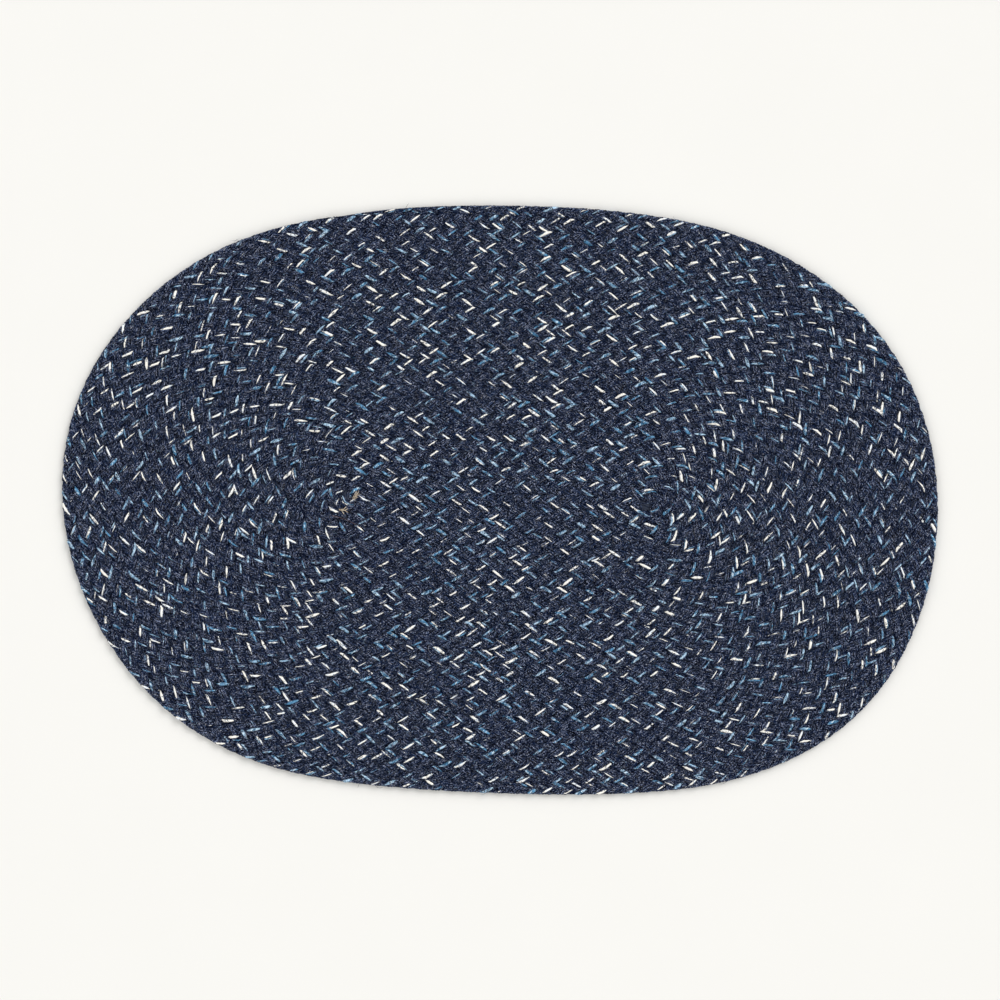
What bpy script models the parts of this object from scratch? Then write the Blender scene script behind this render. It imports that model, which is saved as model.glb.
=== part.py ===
"""Oval jute doormat: a long flat plait, doubled back on a short straight core, coiled round it and laced.

The mat lies on z = 0 with its long side along X. Its upper face shows the plait's turns as low ridges, with a
groove where each turn is laced to the next. The underside is flat. Seen from above the plait starts at the
core's right end, runs left along the upper side of the core seam, and winds anticlockwise until it tapers
away along the top edge.

Places on the mat are given by two numbers: a station, which runs round each lap, and a radius counted in rows
of plait from the core. A row is as wide as the plait, so the coil gains one row of radius in each lap.
"""

import math

import bmesh
import bpy
import numpy as np

# The plait and the coil, in metres.
PLAIT_WIDTH = 0.0133
THICKNESS = 0.0080
GROOVE_DEPTH = 0.0015
CORE_HALF_LENGTH = 0.1498
ROWS_ABOVE_SEAM = 23

# The real mat is a little uneven. The core lies at a slant, the long sides bow out, and the coil is pulled
# slightly out of round. Each wave adds amount * cos(order * angle - phase) to a row's radius.
CORE_SLANT = math.radians(-2.0)
SIDE_BOW = 0.0119
WAVES = [
    # order, amount, phase in degrees
    (2, 0.0231, -37.0),
    (3, 0.0039, 179.0),
    (4, 0.0041, 183.0),
    (5, 0.0044, 132.0),
]

# The last turn's outer side rounds over to the floor, and its tail narrows to nothing over the taper.
SHOULDER_INSET_ROWS = 0.16
SHOULDER_HEIGHT = 0.0069
BULGE_HEIGHT = 0.0038
FOOT_INSET_ROWS = 0.20
TAIL_END = math.radians(99.0)
TAIL_TAPER = math.radians(14.0)

LAP = 64  # stations in each lap, an even number
CURVE_SAMPLES = 7200
BEND_BEGINS = 0.97  # how far along the half core the seam's last point lies

COLOUR = (0.047, 0.061, 0.095, 1.0)
ROUGHNESS = 0.92

FULL_RADIUS_ROWS = ROWS_ABOVE_SEAM - 0.5
SEAM_RADIUS_ROWS = 0.25
VALLEY_HEIGHT = THICKNESS - GROOVE_DEPTH
HALF_LAP = LAP // 2


def remove_everything():
    for item in list(bpy.data.objects):
        bpy.data.objects.remove(item)


def lap_stations():
    """The angle that the edge faces, and the place along the core, at evenly spaced stations of one lap.

    The long sides bow, so the mat's edge is a circle carried round a very flat ellipse. The stations are
    evenly spaced along that edge, starting at the right end, and mirror each other across the core.
    """
    facing = np.linspace(0.0, 2.0 * math.pi, CURVE_SAMPLES + 1)
    turn = np.unwrap(np.arctan2(SIDE_BOW * np.sin(facing), CORE_HALF_LENGTH * np.cos(facing)))
    radius = FULL_RADIUS_ROWS * PLAIT_WIDTH
    x = CORE_HALF_LENGTH * np.cos(turn) + radius * np.cos(facing)
    y = SIDE_BOW * np.sin(turn) + radius * np.sin(facing)
    walked = np.concatenate([[0.0], np.cumsum(np.hypot(np.diff(x), np.diff(y)))])
    wanted = np.linspace(0.0, walked[-1], LAP + 1)[:-1]
    return np.interp(wanted, walked, facing), np.interp(wanted, walked, turn)


FACING, TURN = lap_stations()


def out_of_round(angle):
    """A row's radius against a true circle's, and how fast that changes with the angle."""
    value, slope = 1.0, 0.0
    for order, amount, phase in WAVES:
        swing = order * angle - math.radians(phase)
        value += amount * math.cos(swing)
        slope -= amount * order * math.sin(swing)
    return value, slope


def place(station, rows):
    """The point of the mat at a station and a radius in rows, seen from above."""
    k = station % LAP
    along = CORE_HALF_LENGTH * math.cos(TURN[k])
    across = SIDE_BOW * rows / FULL_RADIUS_ROWS * math.sin(TURN[k])
    core_x = along * math.cos(CORE_SLANT) - across * math.sin(CORE_SLANT)
    core_y = along * math.sin(CORE_SLANT) + across * math.cos(CORE_SLANT)
    angle = FACING[k] + CORE_SLANT
    value, slope = out_of_round(angle)
    reach = rows * PLAIT_WIDTH
    x = core_x + reach * (value * math.cos(angle) - slope * math.sin(angle))
    y = core_y + reach * (value * math.sin(angle) + slope * math.cos(angle))
    return x, y


def wound_angle(station):
    """How far the plait has wound round the core at a station counted from its start."""
    return 2.0 * math.pi * (station // LAP) + FACING[station % LAP]


def groove_rows(station):
    """The radius of the inner side of the plait, in rows."""
    return (wound_angle(station) - math.pi / 2) / (2 * math.pi) - SEAM_RADIUS_ROWS


def tail_station():
    """The first station past the end of the plait."""
    tail_angle = 2.0 * math.pi * (ROWS_ABOVE_SEAM - 1) + TAIL_END
    return next(n for n in range(LAP * ROWS_ABOVE_SEAM) if wound_angle(n) >= tail_angle)


LAST = tail_station()


def fullness(station):
    """1 along the plait, falling smoothly to 0 where its tail ends."""
    left = np.clip((wound_angle(LAST) - wound_angle(station)) / TAIL_TAPER, 0.0, 1.0)
    return left * left * (3.0 - 2.0 * left)


def vertex(bm, station, rows, height):
    return bm.verts.new((*place(station, rows), height))


def seam_vertex(bm, station):
    """A point of the straight seam between the two sides of the core."""
    along = CORE_HALF_LENGTH * math.cos(TURN[station])
    across = -SEAM_RADIUS_ROWS * PLAIT_WIDTH
    x = along * math.cos(CORE_SLANT) - across * math.sin(CORE_SLANT)
    y = along * math.sin(CORE_SLANT) + across * math.cos(CORE_SLANT)
    return bm.verts.new((x, y, VALLEY_HEIGHT))


def seam_points(bm, bend):
    """The core seam, where the plait is doubled back and lies against itself, by station of its upper side.

    The point at each end serves every station of the bend round it.
    """
    seam = {n: seam_vertex(bm, n) for n in range(bend, HALF_LAP - bend + 1)}
    seam |= dict.fromkeys(range(bend), seam[bend])
    seam |= dict.fromkeys(range(HALF_LAP - bend + 1, HALF_LAP + 1), seam[HALF_LAP - bend])
    return seam


def edge_rings(bm):
    """The shoulder, bulge and foot of the last turn's outer side, a point for each station of a lap."""
    shoulder, bulge, foot = [], [], []
    for n in range(LAST - LAP, LAST):
        outer = groove_rows(n) + fullness(n)
        shoulder.append(vertex(bm, n, outer - SHOULDER_INSET_ROWS, SHOULDER_HEIGHT))
        bulge.append(vertex(bm, n, outer, BULGE_HEIGHT))
        foot.append(vertex(bm, n, outer - FOOT_INSET_ROWS, 0.0))
    return shoulder, bulge, foot


def ridge_lines(bm, seam, bend, end_point):
    """The plait's inner groove and its crest, a point for each station from its start to its tail."""
    groove, crest = [], []
    for n in range(LAST):
        full = fullness(n)
        inner = groove_rows(n) - SHOULDER_INSET_ROWS * (1.0 - full)
        low = SHOULDER_HEIGHT + (VALLEY_HEIGHT - SHOULDER_HEIGHT) * full
        high = SHOULDER_HEIGHT + (THICKNESS - SHOULDER_HEIGHT) * full
        if n <= HALF_LAP:
            groove.append(seam[n])
        elif n <= LAP - bend:
            groove.append(seam[LAP - n])
        else:
            groove.append(vertex(bm, n, inner, low))
        crest.append(vertex(bm, n, inner + 0.5 * full, high))
    return [*groove, end_point], [*crest, end_point]


def add_face(bm, *corners):
    """A face with repeated corners left out."""
    kept = [c for i, c in enumerate(corners) if c is not corners[i - 1]]
    if len(kept) > 2:
        bm.faces.new(kept)


def build_mat(bm):
    """The whole solid: ridged upper face, rounded edge and flat underside."""
    bend = next(n for n in range(HALF_LAP) if math.cos(TURN[n]) < BEND_BEGINS)
    shoulder, bulge, foot = edge_rings(bm)
    groove, crest = ridge_lines(bm, seam_points(bm, bend), bend, shoulder[0])

    # A turn climbs from its groove to its crest, then falls to the next turn's groove or to the shoulder.
    outer_side = groove[LAP:] + shoulder[1:] + shoulder[:1]
    for n in range(LAST):
        add_face(bm, groove[n], crest[n], crest[n + 1], groove[n + 1])
        add_face(bm, crest[n], outer_side[n], outer_side[n + 1], crest[n + 1])

    # The folded start of the plait, inside its first right-hand bend.
    start = groove[LAP - bend : LAP + 1]
    for near, far in zip(start, start[1:]):
        add_face(bm, crest[0], near, far)

    for n in range(LAP):
        after = (n + 1) % LAP
        add_face(bm, shoulder[n], bulge[n], bulge[after], shoulder[after])
        add_face(bm, bulge[n], foot[n], foot[after], bulge[after])
    bm.faces.new(foot)
    bmesh.ops.recalc_face_normals(bm, faces=bm.faces)


def centre_on_origin(bm):
    """Puts the middle of the mat's length and width over the origin."""
    corners = np.array([v.co[:] for v in bm.verts])
    middle = (corners.min(axis=0) + corners.max(axis=0)) / 2
    bmesh.ops.translate(bm, verts=bm.verts, vec=(-middle[0], -middle[1], 0.0))


def jute_material():
    material = bpy.data.materials.new("navy_jute")
    material.use_nodes = True
    shader = material.node_tree.nodes["Principled BSDF"]
    shader.inputs["Base Color"].default_value = COLOUR
    shader.inputs["Roughness"].default_value = ROUGHNESS
    shader.inputs["Metallic"].default_value = 0.0
    return material


def plaited_mat():
    mesh = bpy.data.meshes.new("plaited_mat")
    bm = bmesh.new()
    build_mat(bm)
    centre_on_origin(bm)
    bm.to_mesh(mesh)
    bm.free()
    mesh.materials.append(jute_material())
    mesh.shade_smooth()
    mesh.set_sharp_from_angle(angle=math.radians(40.0))
    mat = bpy.data.objects.new("plaited_mat", mesh)
    bpy.context.scene.collection.objects.link(mat)
    return mat


remove_everything()
plaited_mat()
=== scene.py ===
# %% [markdown]
# # An oval jute doormat
#
# The mat is one long plait of jute. The plait is doubled back on a short straight core, then coiled round it
# anticlockwise, and each turn is laced to the one before. Three strands cross over and under each other in
# the plait. Each strand is a handful of loose yarns. Most are dyed navy, and each strand also carries one or
# two undyed or light blue yarns, which come up in some of the crossings as short flecks.
#
# The lesson follows that order: the frame, the camera and the light, the coil's path, the finishes, the yarns
# that the path carries, and last the small things that make it look used.

# %% Load the frame
import math

import bmesh
import bpy
import numpy as np
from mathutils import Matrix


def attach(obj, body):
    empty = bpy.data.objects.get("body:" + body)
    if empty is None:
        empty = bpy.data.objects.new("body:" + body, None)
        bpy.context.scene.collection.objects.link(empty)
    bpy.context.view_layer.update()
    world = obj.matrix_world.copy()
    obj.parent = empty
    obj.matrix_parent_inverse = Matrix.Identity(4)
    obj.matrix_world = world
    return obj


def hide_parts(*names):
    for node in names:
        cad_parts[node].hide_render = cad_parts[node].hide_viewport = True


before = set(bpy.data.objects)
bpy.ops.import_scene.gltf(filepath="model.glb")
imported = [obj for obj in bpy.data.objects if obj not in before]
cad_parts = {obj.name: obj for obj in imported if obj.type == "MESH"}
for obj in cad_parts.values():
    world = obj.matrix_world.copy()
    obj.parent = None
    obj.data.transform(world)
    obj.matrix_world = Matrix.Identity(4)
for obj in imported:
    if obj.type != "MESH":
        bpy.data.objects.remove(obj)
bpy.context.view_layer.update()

# %% [markdown]
# ## Camera
#
# The camera looks straight down from well above, with a long lens, so the mat's far edges show almost no
# side. The view is as wide as the mat's own length and a seventh more.

# %% Camera
VIEW_WIDTH = 1.0262
VIEW_LEVEL = 0.004  # the height at which the view is that wide: half way up the mat
VIEW_END = 20.0
LENS = 110.0
SENSOR = 36.0
scene = bpy.context.scene


def add_object(name, data):
    """A new object in the scene."""
    made = bpy.data.objects.new(name, data)
    scene.collection.objects.link(made)
    return made


def make_camera():
    data = bpy.data.cameras.new("camera")
    data.lens, data.sensor_width, data.clip_end = LENS, SENSOR, VIEW_END
    camera = add_object("camera", data)
    camera.location.z = VIEW_LEVEL + VIEW_WIDTH * LENS / SENSOR
    scene.camera = camera


make_camera()
print("camera height", round(scene.camera.location.z, 3))

# %% [markdown]
# ## Small helpers for nodes
#
# Every tree here, for light, materials and geometry, is built in code. `node` makes a node and fills its
# inputs. An output that goes on into other nodes is wrapped as a `Field`, which can stand in a sum: each sign
# of the sum becomes one Math or Vector Math node. So a rule reads as a formula, and the tree is still made of
# plain nodes.

# %% Node helpers


def fill(socket, value):
    """Links a field to a node's input, or sets the input to a plain value."""
    if isinstance(value, Field):
        value.tree.links.new(value.socket, socket)
    elif socket.type == "RGBA":
        socket.default_value = (*value, 1.0)
    else:
        socket.default_value = value


def node(tree, kind, inputs=None, **settings):
    """A node of this kind, with its settings and its inputs filled."""
    made = tree.nodes.new(kind)
    for key, value in settings.items():
        setattr(made, key, value)
    for key, value in (inputs or {}).items():
        fill(made.inputs[key], value)
    return made


def fields(made):
    """All outputs of a node, by name."""
    return {socket.name: Field(made.id_data, socket) for socket in made.outputs}


def field(tree, kind, inputs=None, output=0, **settings):
    """One output of a new node."""
    return Field(tree, node(tree, kind, inputs, **settings).outputs[output])


class Field:
    """A node's output, which can stand in a sum."""

    def __init__(self, tree, socket):
        self.tree, self.socket = tree, socket
        self.is_vector = socket.type == "VECTOR"

    def math(self, operation, *others, output=0):
        """What a Math node, or for vectors a Vector Math node, makes of this and the others."""
        kind = "ShaderNodeVectorMath" if self.is_vector else "ShaderNodeMath"
        return field(self.tree, kind, dict(enumerate((self, *others))), output, operation=operation)

    def between(self, low, high):
        """0 up to the low value, 1 from the high value, and in proportion between them."""
        return field(self.tree, "ShaderNodeMapRange", {0: self, 1: low, 2: high})

    def __add__(self, other):
        return self.math("ADD", other)

    def __sub__(self, other):
        return self.math("SUBTRACT", other)

    def __rsub__(self, other):
        return field(self.tree, "ShaderNodeMath", {0: other, 1: self}, operation="SUBTRACT")

    def __mul__(self, other):
        if self.is_vector and not getattr(other, "is_vector", False):
            return field(self.tree, "ShaderNodeVectorMath", {0: self, "Scale": other}, operation="SCALE")
        return self.math("MULTIPLY", other)

    def __truediv__(self, other):
        return self.math("DIVIDE", other)

    def __mod__(self, other):
        return self.math("FLOORED_MODULO", other)


def xyz(tree, x=0.0, y=0.0, z=0.0):
    return field(tree, "ShaderNodeCombineXYZ", {0: x, 1: y, 2: z})


def split(vector):
    """The three parts of a vector."""
    return list(fields(node(vector.tree, "ShaderNodeSeparateXYZ", {0: vector})).values())


def object_place(tree):
    """A place on the mat in metres, read in a material."""
    return field(tree, "ShaderNodeTexCoord", output="Object")


def noise(tree, place, scale=1.0, detail=2.0, roughness=0.5, **settings):
    """Soft noise from 0 to 1."""
    inputs = {"Vector": place, "Scale": scale, "Detail": detail, "Roughness": roughness}
    return field(tree, "ShaderNodeTexNoise", inputs, **settings)


def colour_ramp(value, stops):
    """The colour that belongs to the value, from a list of places and colours."""
    ramp = node(value.tree, "ShaderNodeValToRGB", {0: value})
    elements = ramp.color_ramp.elements
    elements.remove(elements[1])
    elements[0].color = (*stops[0][1], 1.0)
    for place, colour in stops[1:]:
        elements.new(place).color = (*colour, 1.0)
    return Field(value.tree, ramp.outputs[0])


# %% [markdown]
# ## Light
#
# The light is a soft room. Most of the glow comes from a ring of pale panels half way up on every side, less
# of it from overhead and little from the horizon. One large lamp on the upper right gives the plait its
# relief, and the mat a soft shadow on the lower left. It is far enough off to light the whole floor evenly.

# %% Light
GLOW = (1.0, 0.997, 0.990)
GLOW_STRENGTH = 1.635
# The glow's share of its strength, by the sine of the height it comes from.
GLOW_RING = [(0.0, 0.0), (0.20, 0.05), (0.30, 0.7), (0.50, 1.0), (0.62, 0.85), (0.75, 0.7), (0.85, 0.3)]
LAMP_STRENGTH = 1.09
LAMP_SOFTNESS = math.radians(34.0)
LAMP_HEIGHT = math.radians(42.0)
LAMP_BEARING = math.radians(48.0)  # anticlockwise from the right


def make_world():
    """A soft glow that is strongest half way up."""
    world = bpy.data.worlds.new("soft_room")
    world.use_nodes = True
    height = split(field(world.node_tree, "ShaderNodeTexCoord", output="Generated"))[2]
    share = colour_ramp(height, [(place, (value,) * 3) for place, value in GLOW_RING])
    background = world.node_tree.nodes["Background"].inputs
    fill(background["Color"], GLOW)
    fill(background["Strength"], share * GLOW_STRENGTH)
    scene.world = world


def make_lamp():
    data = bpy.data.lights.new("key_lamp", "SUN")
    data.energy, data.angle = LAMP_STRENGTH, LAMP_SOFTNESS
    lamp = add_object("key_lamp", data)
    across = math.cos(LAMP_HEIGHT)
    lamp.location = (across * math.cos(LAMP_BEARING), across * math.sin(LAMP_BEARING), math.sin(LAMP_HEIGHT))
    lamp.rotation_euler = lamp.location.to_track_quat("Z", "Y").to_euler()


scene.view_settings.view_transform = "Standard"
scene.view_settings.look = "None"
make_world()
make_lamp()

# %% [markdown]
# ## The coil
#
# A row of the coil is one width of plait. The mat's edge is a circle carried round a very flat ellipse, the
# core, so the long sides bow out a little. `coil_point` turns a place in the coil into a point: `laps` counts
# the laps wound so far, and `rows` is the distance from the core in widths of plait. These are the numbers of
# the CAD part, so the yarns lie where its ridges are.

# %% The coil's sizes
PLAIT_WIDTH = 0.0133
CORE_HALF_LENGTH = 0.1498
ROWS_ABOVE_SEAM = 23
CORE_SLANT = math.radians(-2.0)
SIDE_BOW = 0.0119
# The coil is a little out of round: order, amount and phase in degrees of each wave in a row's radius.
WAVES = [(2, 0.0231, -37.0), (3, 0.0039, 179.0), (4, 0.0041, 183.0), (5, 0.0044, 132.0)]
FULL_RADIUS_ROWS = ROWS_ABOVE_SEAM - 0.5
SEAM_RADIUS_ROWS = 0.25
BEND_BEGINS = 0.97  # how far along the half core the seam's last point lies
TAIL_END = math.radians(99.0)
TAIL_TAPER = math.radians(14.0)
STATIONS = 64  # of the CAD part, in a lap


def lap_curve(samples=7200):
    """One lap of the edge: the share walked, the angle faced and the turn round the core's ellipse."""
    facing = np.linspace(0.0, 2 * math.pi, samples + 1)
    turn = np.unwrap(np.arctan2(SIDE_BOW * np.sin(facing), CORE_HALF_LENGTH * np.cos(facing)))
    radius = FULL_RADIUS_ROWS * PLAIT_WIDTH
    x = CORE_HALF_LENGTH * np.cos(turn) + radius * np.cos(facing)
    y = SIDE_BOW * np.sin(turn) + radius * np.sin(facing)
    walked = np.concatenate([[0.0], np.cumsum(np.hypot(np.diff(x), np.diff(y)))])
    return walked / walked[-1], facing, turn


LAP_SHARE, LAP_FACING, LAP_TURN = lap_curve()


def facing_and_turn(laps):
    part = laps - np.floor(laps)
    return np.interp(part, LAP_SHARE, LAP_FACING), np.interp(part, LAP_SHARE, LAP_TURN)


def wound_angle(laps):
    """How far the plait has wound round the core."""
    return 2 * math.pi * np.floor(laps) + facing_and_turn(laps)[0]


def slanted(along, across):
    """Core coordinates turned by the core's slant."""
    cos, sin = math.cos(CORE_SLANT), math.sin(CORE_SLANT)
    return np.stack([along * cos - across * sin, along * sin + across * cos], axis=-1)


def coil_point(laps, rows):
    """The point at this many laps and this many rows from the core, seen from above."""
    facing, turn = facing_and_turn(laps)
    core = slanted(CORE_HALF_LENGTH * np.cos(turn), SIDE_BOW * rows / FULL_RADIUS_ROWS * np.sin(turn))
    angle = facing + CORE_SLANT
    value, slope = np.ones_like(angle), np.zeros_like(angle)
    for order, amount, phase in WAVES:
        swing = order * angle - math.radians(phase)
        value = value + amount * np.cos(swing)
        slope = slope - amount * order * np.sin(swing)
    outward = np.stack([np.cos(angle), np.sin(angle)], axis=-1)
    sideways = np.stack([-np.sin(angle), np.cos(angle)], axis=-1)
    reach = np.asarray(rows * PLAIT_WIDTH)
    return core + reach[..., None] * (value[..., None] * outward + slope[..., None] * sideways)


print("a lap of the edge is sampled at", len(LAP_SHARE), "points")

# %% [markdown]
# ## Grooves, rows and the tail
#
# A groove is where one turn is laced to the next. The plait's inner side lies on the groove, and its outer
# side on the same groove a lap later, so the rows always touch. Hands pull the plait a little tighter here
# and looser there: each groove wanders by up to a tenth of a row, and the rows on its two sides take up the
# difference. On the first lap both sides of the core share one straight seam. On the last, the plait narrows
# to nothing along the top edge.

# %% Grooves
UNEVEN_ROWS = 0.10
UNEVEN_KNOTS_PER_LAP = 9
UNEVEN_SEED = 11
EVEN_START = (1.2, 1.0)  # the grooves start to wander after this many laps, and do so fully this much later
EVEN_END = 0.8  # and stop over this many laps at the end
SEAM_ENDS = (284.0, 18.0)  # the wound angle at which the groove leaves the seam, and how long that takes
TAIL_OPENS = 0.04  # laps over which the last turn's outer side comes free


def smooth(x):
    x = np.clip(x, 0.0, 1.0)
    return x * x * (3.0 - 2.0 * x)


def last_laps():
    """Where the plait ends, in laps: the first station of the CAD's coil past the tail's angle."""
    stations = np.arange(STATIONS * ROWS_ABOVE_SEAM) / STATIONS
    angle = 2 * math.pi * (ROWS_ABOVE_SEAM - 1) + TAIL_END
    return stations[np.argmax(wound_angle(stations) >= angle - 1e-9)]


LAST_LAPS = last_laps()


def wander(places, knots, seed):
    """A smooth random line through random knots at whole places, from -1 to 1."""
    values = np.random.default_rng(seed).uniform(-1.0, 1.0, knots + 3)
    before = np.clip(np.floor(places).astype(int), 0, knots)
    share = smooth(places - before)
    return values[before] * (1 - share) + values[before + 1] * share


def uneven(laps):
    """How far a groove strays from its place, in rows. It fades out at the core and at the mat's edge."""
    knots = (ROWS_ABOVE_SEAM + 4) * UNEVEN_KNOTS_PER_LAP
    stray = UNEVEN_ROWS * wander(laps * UNEVEN_KNOTS_PER_LAP, knots, UNEVEN_SEED)
    return stray * smooth((laps - EVEN_START[0]) / EVEN_START[1]) * smooth((LAST_LAPS - laps) / EVEN_END)


def coil_rows(laps):
    """The distance of the plait's inner side from the core, in rows."""
    return (wound_angle(laps) - math.pi / 2) / (2 * math.pi) - SEAM_RADIUS_ROWS


def groove(laps):
    """The inner side of the plait: the straight seam on the first lap, then the coil."""
    coil = coil_point(laps, coil_rows(laps) + uneven(laps))
    along = np.clip(np.cos(facing_and_turn(laps)[1]), -BEND_BEGINS, BEND_BEGINS)
    seam = slanted(along * CORE_HALF_LENGTH, np.full_like(along, -SEAM_RADIUS_ROWS * PLAIT_WIDTH))
    on_coil = smooth((np.degrees(wound_angle(laps)) - SEAM_ENDS[0]) / SEAM_ENDS[1])[..., None]
    return seam * (1 - on_coil) + coil * on_coil


def fullness(laps):
    """1 along the plait, falling smoothly to 0 where its tail ends."""
    return smooth((wound_angle(np.full(1, LAST_LAPS)) - wound_angle(laps)) / TAIL_TAPER)


def outer_side(laps):
    """The outer side of the plait: the next lap's groove, or on the last turn the mat's own edge."""
    edge = coil_point(laps, coil_rows(laps) + fullness(laps))
    covered = smooth((LAST_LAPS - 1.0 - laps) / TAIL_OPENS)[..., None]
    return edge * (1 - covered) + groove(laps + 1.0) * covered


def coil_middle():
    """The middle of the coil's box, which the CAD part puts over the origin."""
    edge = outer_side(LAST_LAPS - 1.0 + np.arange(STATIONS) / STATIONS)
    return (edge.min(axis=0) + edge.max(axis=0)) / 2


MIDDLE = coil_middle()
print("plait ends after", round(float(LAST_LAPS), 3), "laps; middle", MIDDLE.round(5))

# %% [markdown]
# ## The path of the plait
#
# The path is a dense string of points along the middle of each row. A strand of the plait swings from one
# side of the row to the other and back in one crossing, and the path has the same number of points in every
# crossing, so a point's index says how far through its crossing it is. Each point carries what the yarns
# need: `across`, the vector from the middle of the row to its outer side; `along`, its distance from the
# start; `full`, which is 1 except where the plait starts and ends; and `rim`, which is 1 on the mat's
# outermost turn. It is a plain mesh of edges for Geometry Nodes.

# %% The path
CROSSING = 0.0492
PATH_POINTS = 48  # in a crossing
SAMPLES_PER_LAP = 600
START_TAPER = 0.022
START_FULLNESS = 0.25
EDGE_INSET = (0.0012, 0.0025)  # the outermost strokes lie this far inside the part's edge, along X and Y
RIM_BEGINS = (1.02, 0.05)  # laps before the end, and over how many laps
HURRY = 0.05  # of a crossing, how much the strokes hurry or lag
HURRY_LENGTH = 0.11
HURRY_SEED = 23


def plait_path():
    laps = np.arange(0.0, LAST_LAPS, 1 / SAMPLES_PER_LAP)
    inner, outer = groove(laps) - MIDDLE, outer_side(laps) - MIDDLE
    outermost = smooth((laps - LAST_LAPS + RIM_BEGINS[0]) / RIM_BEGINS[1])[:, None]
    outer = outer - np.array(EDGE_INSET) * outermost * outer / np.hypot(*outer.T)[:, None]
    middle, across = (inner + outer) / 2, (outer - inner) / 2
    walked = np.concatenate([[0.0], np.cumsum(np.hypot(*np.diff(middle, axis=0).T))])
    stretches = walked / HURRY_LENGTH
    turns = walked / CROSSING + HURRY * wander(stretches, int(stretches[-1]) + 3, HURRY_SEED)
    wanted = np.arange(math.ceil(turns[0] * PATH_POINTS), turns[-1] * PATH_POINTS) / PATH_POINTS

    def at(*values):
        found = [np.interp(wanted, turns, value) for value in values]
        return found[0] if len(found) == 1 else np.stack(found, axis=1)

    flat = np.zeros_like(walked)
    return {
        "middle": at(*middle.T, flat),
        "across": at(*across.T, flat),
        "laps": at(laps),
        "along": at(walked),
        "full": at(fullness(laps) * smooth(walked / START_TAPER + START_FULLNESS)),
        "rim": at(outermost[:, 0]),
    }


PATH = plait_path()
CROSSINGS = len(PATH["along"]) / PATH_POINTS
print("plait", round(PATH["along"][-1], 2), "m,", round(CROSSINGS, 1), "crossings")


def string_of_points(name, places, strings=1, **values):
    """Points joined by edges, as one string or as several of equal length, with values as attributes."""
    mesh = bpy.data.meshes.new(name)
    length = len(places) // strings
    edges = [(i, i + 1) for i in range(len(places) - 1) if (i + 1) % length]
    mesh.from_pydata(places, edges, [])
    for key, value in values.items():
        value = np.asarray(value, np.float32)
        kind, field_name = ("FLOAT_VECTOR", "vector") if value.ndim == 2 else ("FLOAT", "value")
        mesh.attributes.new(key, kind, "POINT").data.foreach_set(field_name, value.ravel())
    return add_object(name, mesh)


PLAIT = string_of_points(
    "plait_path", PATH["middle"].tolist(), **{key: PATH[key] for key in ("across", "along", "full", "rim")}
)

# %% [markdown]
# ## Finishes
#
# Jute yarn is a loose twist of coarse dull fibres. Three things show: the fibres themselves, which run round
# the yarn in a long screw; a heathering, because fibres take the dye unevenly; and a slow drift of tone along
# each yarn. `spun_fibre` makes all three from the yarn's own attributes: `ring`, the direction from the
# yarn's middle to its skin, `along`, the distance along the plait, and `yarn`, its number. Nothing is painted
# from outside, so the fibres bend with the yarn. `fuzz` adds the short loose fibres that cover a worn mat.
# The fuzz group's crest mask also paints shade into the gaps between strands.

# %% Fibre node group
KINDS = {float: "Float", int: "Int"}


def new_group(name, tree_kind, inputs):
    """An empty node group with named inputs. A default is a number, or the kind of what has none."""
    tree = bpy.data.node_groups.new(name, tree_kind)
    for label, default in inputs.items():
        kind = KINDS.get(type(default), default)
        socket = tree.interface.new_socket(label, in_out="INPUT", socket_type="NodeSocket" + kind)
        if kind != default:
            socket.default_value = default
    return tree, fields(tree.nodes.new("NodeGroupInput"))


def put_out(tree, outputs, kind="Float"):
    """Gives the group these outputs."""
    result = tree.nodes.new("NodeGroupOutput")
    for label, value in outputs.items():
        tree.interface.new_socket(label, in_out="OUTPUT", socket_type="NodeSocket" + kind)
        fill(result.inputs[label], value)


def attribute(tree, name, output="Fac"):
    """What the mesh carries under this name, read in a material."""
    return field(tree, "ShaderNodeAttribute", output=output, attribute_name=name)


SPUN_INPUTS = {"Twist Pitch": 0.015, "Fibre Width": 0.0012, "Fibre Length": 0.0026, "Yarn Radius": 0.0013}
YARNS_APART = 17.3  # in the noise, so that no two yarns are alike
DRIFTS_PER_METRE = 16.0
HEATHER_SIZE = (2.6, 1.2)  # in widths and lengths of a fibre
HEATHER_EDGE = (0.40, 0.62)
STREAK_EDGE = (0.55, 0.62)
FIBRE_GRIT = 0.6


def spun_fibre_group():
    tree, given = new_group("spun_fibre", "ShaderNodeTree", SPUN_INPUTS)
    x, y, _ = split(attribute(tree, "ring", "Vector"))
    along, own = attribute(tree, "along"), attribute(tree, "yarn") * YARNS_APART
    screw = along / given["Twist Pitch"] * (2 * math.pi) + y.math("ARCTAN2", x)

    def fibres(width, length, detail):
        """Noise that goes round the yarn with the twist, in units of one fibre."""
        size = given["Yarn Radius"] / (given["Fibre Width"] * width)
        around = (screw.math("COSINE") * size + own, screw.math("SINE") * size)
        place = xyz(tree, *around, along / (given["Fibre Length"] * length))
        return noise(tree, place, detail=detail, roughness=FIBRE_GRIT)

    streak = fibres(1.0, 1.0, 2.0)
    drift = noise(tree, xyz(tree, own, along * DRIFTS_PER_METRE))
    put_out(tree, {
        "Streak": streak.between(*STREAK_EDGE),
        "Heather": fibres(*HEATHER_SIZE, 1.0).between(*HEATHER_EDGE),
        "Tone": attribute(tree, "tone") + (drift - 0.5),
        "Relief": streak,
    })
    return tree


SPUN_FIBRE = spun_fibre_group()
print("node group", SPUN_FIBRE.name, len(SPUN_FIBRE.nodes), "nodes")

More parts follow.
